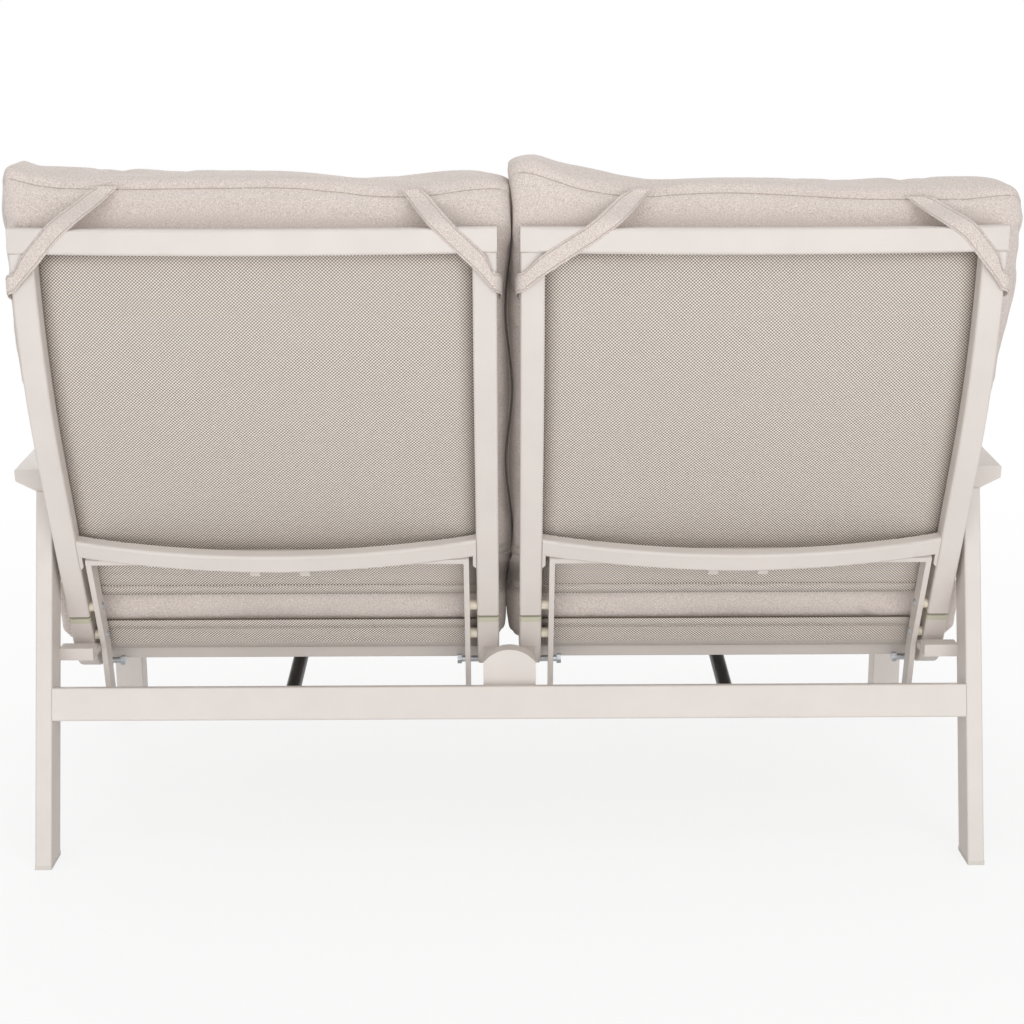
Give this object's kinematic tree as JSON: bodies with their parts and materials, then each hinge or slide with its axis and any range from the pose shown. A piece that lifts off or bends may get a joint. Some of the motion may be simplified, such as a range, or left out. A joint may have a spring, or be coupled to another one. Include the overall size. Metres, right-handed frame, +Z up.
{
  "type": "lounge sofa",
  "caption": "Outdoor lounge sofa with an off-white tube frame, woven slings, loose cushions and reclining backs carried by gas springs under the seats.",
  "frame": {"origin": "middle of the footprint on the floor", "axes": "+Z up, -Y is the front of the sofa, +X is the sitter's left; backs upright, cushions in place"},
  "size_m": [1.49, 0.731, 1.0319],
  "materials": {
    "frame_paint": "fine matt powder coat",
    "mesh": "woven mesh",
    "cushion_fabric": "heather weave",
    "cap_plastic": "moulded plastic",
    "glide_plastic": "moulded plastic",
    "zinc": "zinc plated",
    "spacer_plastic": "moulded plastic",
    "black_steel": "black paint",
    "rod_steel": "dark polished steel"
  },
  "bodies": {
    "frame": {"left_rear_leg": "frame_paint", "right_rear_leg": "frame_paint", "left_front_leg": "frame_paint", "right_front_leg": "frame_paint", "left_armrest": "frame_paint", "right_armrest": "frame_paint", "left_seat_stub": "frame_paint", "right_seat_stub": "frame_paint", "rear_rail": "frame_paint", "front_rail": "frame_paint", "centre_post": "frame_paint", "foot_glides": "glide_plastic", "left_outer_seat_rail": "frame_paint", "left_inner_seat_rail": "frame_paint", "right_outer_seat_rail": "frame_paint", "right_inner_seat_rail": "frame_paint", "left_cross_tube": "frame_paint", "right_cross_tube": "frame_paint", "left_front_tube": "frame_paint", "right_front_tube": "frame_paint", "left_seat_sling": "mesh", "right_seat_sling": "mesh", "left_spring_bracket": "frame_paint", "right_spring_bracket": "frame_paint", "rail_caps": "cap_plastic", "stop_bolts": "zinc", "left_seat_cushion": "cushion_fabric", "right_seat_cushion": "cushion_fabric"},
    "left_back": {"left_outer_stile": "frame_paint", "left_inner_stile": "frame_paint", "left_top_rail": "frame_paint", "left_brace": "frame_paint", "left_back_sling": "mesh", "left_outer_strap": "frame_paint", "left_inner_strap": "frame_paint", "left_strap_bar": "frame_paint", "left_lever_tube": "frame_paint", "left_spacers": "spacer_plastic", "left_pins": "zinc", "left_back_cushion": "cushion_fabric", "left_corner_straps": "cushion_fabric"},
    "left_spring_rod": {"left_gas_rod": "rod_steel"},
    "left_spring_cylinder": {"left_gas_cylinder": "black_steel"},
    "right_back": {"right_outer_stile": "frame_paint", "right_inner_stile": "frame_paint", "right_top_rail": "frame_paint", "right_brace": "frame_paint", "right_back_sling": "mesh", "right_outer_strap": "frame_paint", "right_inner_strap": "frame_paint", "right_strap_bar": "frame_paint", "right_lever_tube": "frame_paint", "right_spacers": "spacer_plastic", "right_pins": "zinc", "right_back_cushion": "cushion_fabric", "right_corner_straps": "cushion_fabric"},
    "right_spring_rod": {"right_gas_rod": "rod_steel"},
    "right_spring_cylinder": {"right_gas_cylinder": "black_steel"}
  },
  "joints": [
    {"name": "left_recline", "type": "hinge", "parent": "frame", "child": "left_back", "pos_m": [0.3495, 0.13958, 0.30916], "axis": [-1, 0, 0], "range_deg": [0, 15]},
    {"name": "left_spring_swing", "type": "hinge", "parent": "frame", "child": "left_spring_rod", "pos_m": [0.3495, -0.26304, 0.24843], "axis": [1, 0, 0], "range_deg": [0, 0.469]},
    {"name": "left_spring_stroke", "type": "slide", "parent": "left_spring_rod", "child": "left_spring_cylinder", "axis": [0, -0.99, 0.1409], "range_m": [0, 0.0305]},
    {"name": "right_recline", "type": "hinge", "parent": "frame", "child": "right_back", "pos_m": [-0.3495, 0.13958, 0.30916], "axis": [-1, 0, 0], "range_deg": [0, 15]},
    {"name": "right_spring_swing", "type": "hinge", "parent": "frame", "child": "right_spring_rod", "pos_m": [-0.3495, -0.26304, 0.24843], "axis": [1, 0, 0], "range_deg": [0, 0.469]},
    {"name": "right_spring_stroke", "type": "slide", "parent": "right_spring_rod", "child": "right_spring_cylinder", "axis": [0, -0.99, 0.1409], "range_m": [0, 0.0305]}
  ],
  "couplings": [
    {"joint": "left_spring_swing", "follows": "left_recline", "ratio": 0.02996},
    {"joint": "left_spring_stroke", "follows": "left_recline", "m_per_rad": 0.11567},
    {"joint": "right_spring_swing", "follows": "right_recline", "ratio": 0.02996},
    {"joint": "right_spring_stroke", "follows": "right_recline", "m_per_rad": 0.11567}
  ]
}
